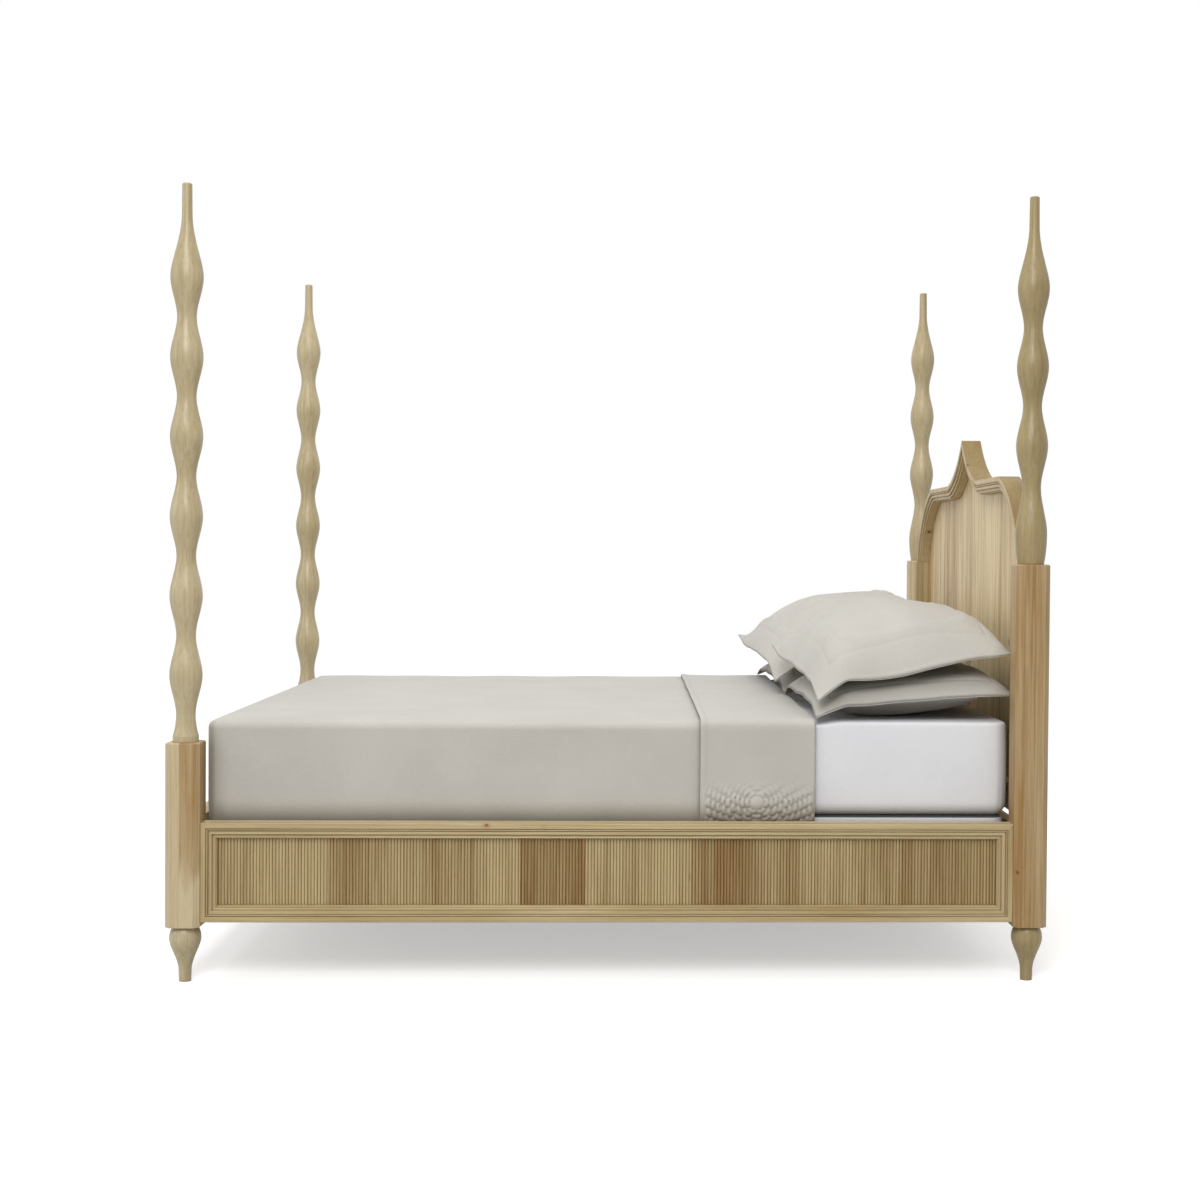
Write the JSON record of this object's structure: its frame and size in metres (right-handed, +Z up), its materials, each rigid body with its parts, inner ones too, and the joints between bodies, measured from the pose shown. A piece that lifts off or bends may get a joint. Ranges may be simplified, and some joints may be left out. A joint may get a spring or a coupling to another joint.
{
  "type": "four-poster bed",
  "caption": "Four-poster bed with bobbin-turned posts, reeded rails in mitred mouldings and an ogee-crested headboard, dressed with mattress, coverlet and pillows.",
  "frame": {"origin": "on the floor, midway between the four posts", "axes": "+X from the foot to the head, +Y to the far side of the picture's view, +Z up"},
  "size_m": [2.221, 1.696, 2],
  "materials": {
    "post_wood": "satin clear-finished pale pine",
    "turned_wood": "satin clear-finished pale pine, turned",
    "moulding_wood": "satin clear-finished pale pine, moulded",
    "panel_wood": "satin clear-finished knotty pine boards",
    "frame_wood": "planed pine",
    "dowel_wood": "plain beech",
    "steel": "zinc-plated",
    "ticking": "woven white ticking",
    "sheet_cotton": "smooth white cotton sheet",
    "coverlet_sateen": "smooth taupe sateen with a quilted cuff",
    "pillow_cotton": "smooth warm grey cotton"
  },
  "bodies": {
    "frame": {"foot_near_block": "post_wood", "foot_near_spindle": "turned_wood", "foot_near_turned_foot": "turned_wood", "foot_far_block": "post_wood", "foot_far_spindle": "turned_wood", "foot_far_turned_foot": "turned_wood", "head_near_block": "post_wood", "head_near_spindle": "turned_wood", "head_near_turned_foot": "turned_wood", "head_far_block": "post_wood", "head_far_spindle": "turned_wood", "head_far_turned_foot": "turned_wood", "spindle_dowels": "dowel_wood", "near_rail_core": "frame_wood", "near_rail_panel": "panel_wood", "near_rail_long_moulding": "moulding_wood", "near_rail_end_moulding": "moulding_wood", "far_rail_core": "frame_wood", "far_rail_panel": "panel_wood", "far_rail_long_moulding": "moulding_wood", "far_rail_end_moulding": "moulding_wood", "foot_rail_core": "frame_wood", "foot_rail_panel": "panel_wood", "foot_rail_long_moulding": "moulding_wood", "foot_rail_end_moulding": "moulding_wood", "rail_hook_plates": "steel", "post_slot_plates": "steel", "near_ledger": "frame_wood", "far_ledger": "frame_wood", "head_rail": "frame_wood", "headboard_bottom_rail": "frame_wood", "headboard_panel": "panel_wood", "headboard_near_stile": "moulding_wood", "headboard_far_stile": "moulding_wood", "headboard_near_crest": "moulding_wood", "headboard_far_crest": "moulding_wood", "headboard_dowels": "dowel_wood", "centre_beam": "frame_wood", "centre_legs": "frame_wood", "beam_hangers": "steel", "slat_01": "frame_wood", "slat_02": "frame_wood", "slat_03": "frame_wood", "slat_04": "frame_wood", "slat_05": "frame_wood", "slat_06": "frame_wood", "slat_07": "frame_wood", "slat_08": "frame_wood", "slat_09": "frame_wood", "slat_10": "frame_wood", "foundation": "ticking"},
    "mattress": {"mattress": "sheet_cotton", "coverlet": "coverlet_sateen"},
    "pillow_near_lower": {"pillow_near_lower": "pillow_cotton"},
    "pillow_near_upper": {"pillow_near_upper": "pillow_cotton"},
    "pillow_far_lower": {"pillow_far_lower": "pillow_cotton"},
    "pillow_far_upper": {"pillow_far_upper": "pillow_cotton"}
  },
  "joints": [
    {"name": "mattress_lift", "type": "slide", "parent": "frame", "child": "mattress", "axis": [0, 0, 1], "range_m": [0, 0.3]},
    {"name": "near_lower_pillow_lift", "type": "slide", "parent": "mattress", "child": "pillow_near_lower", "axis": [0, 0, 1], "range_m": [0, 0.25]},
    {"name": "far_lower_pillow_lift", "type": "slide", "parent": "mattress", "child": "pillow_far_lower", "axis": [0, 0, 1], "range_m": [0, 0.25]},
    {"name": "near_upper_pillow_lift", "type": "slide", "parent": "pillow_near_lower", "child": "pillow_near_upper", "axis": [0, 0, 1], "range_m": [0, 0.25]},
    {"name": "far_upper_pillow_lift", "type": "slide", "parent": "pillow_far_lower", "child": "pillow_far_upper", "axis": [0, 0, 1], "range_m": [0, 0.25]}
  ]
}
